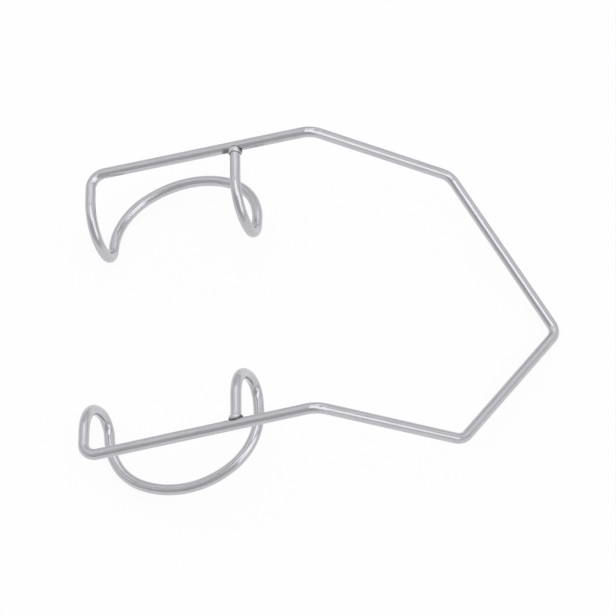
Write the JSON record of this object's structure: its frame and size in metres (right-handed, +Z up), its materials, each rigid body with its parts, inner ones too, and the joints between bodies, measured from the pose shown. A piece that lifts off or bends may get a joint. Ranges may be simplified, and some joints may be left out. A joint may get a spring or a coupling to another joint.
{
  "type": "eyelid retractor",
  "caption": "Self-retaining wire retractor that holds the eyelids open: a sprung V with two arms that end in open, hooked wire blades.",
  "frame": {"origin": "on the surface it stands on, under the middle of the instrument's bounding box", "axes": "+X from the blades towards the sprung V, +Y towards the upper lid's arm, +Z up, away from the eye"},
  "size_m": [0.0422, 0.0324, 0.0131],
  "materials": {
    "wire": "satin",
    "weld": "matt"
  },
  "bodies": {
    "spring": {"spring_bend": "wire"},
    "upper_arm": {"upper_spring_leg": "wire", "upper_elbow_bend": "wire", "upper_side_arm": "wire", "upper_fold_bend": "wire", "upper_lid_bar": "wire", "upper_corner_bend": "wire", "upper_front_hook": "wire", "upper_lid_arc": "wire", "upper_rear_hook": "wire", "upper_weld_bead": "weld"},
    "lower_arm": {"lower_spring_leg": "wire", "lower_elbow_bend": "wire", "lower_side_arm": "wire", "lower_fold_bend": "wire", "lower_lid_bar": "wire", "lower_corner_bend": "wire", "lower_front_hook": "wire", "lower_lid_arc": "wire", "lower_rear_hook": "wire", "lower_weld_bead": "weld"}
  },
  "joints": [
    {"name": "upper_arm_flex", "type": "hinge", "parent": "spring", "child": "upper_arm", "pos_m": [0.01824, 0.00389, 0.00185], "axis": [0.5044, 0, 0.8635], "range_deg": [0, 12.5], "stiffness_Nm_per_rad": 0.38, "deforming": ["spring_bend"]},
    {"name": "lower_arm_flex", "type": "hinge", "parent": "spring", "child": "lower_arm", "pos_m": [0.01824, -0.00389, 0.00185], "axis": [-0.5044, 0, -0.8635], "range_deg": [0, 12.5], "stiffness_Nm_per_rad": 0.38, "deforming": ["spring_bend"]}
  ],
  "couplings": [
    {"joint": "lower_arm_flex", "follows": "upper_arm_flex", "ratio": 1}
  ]
}
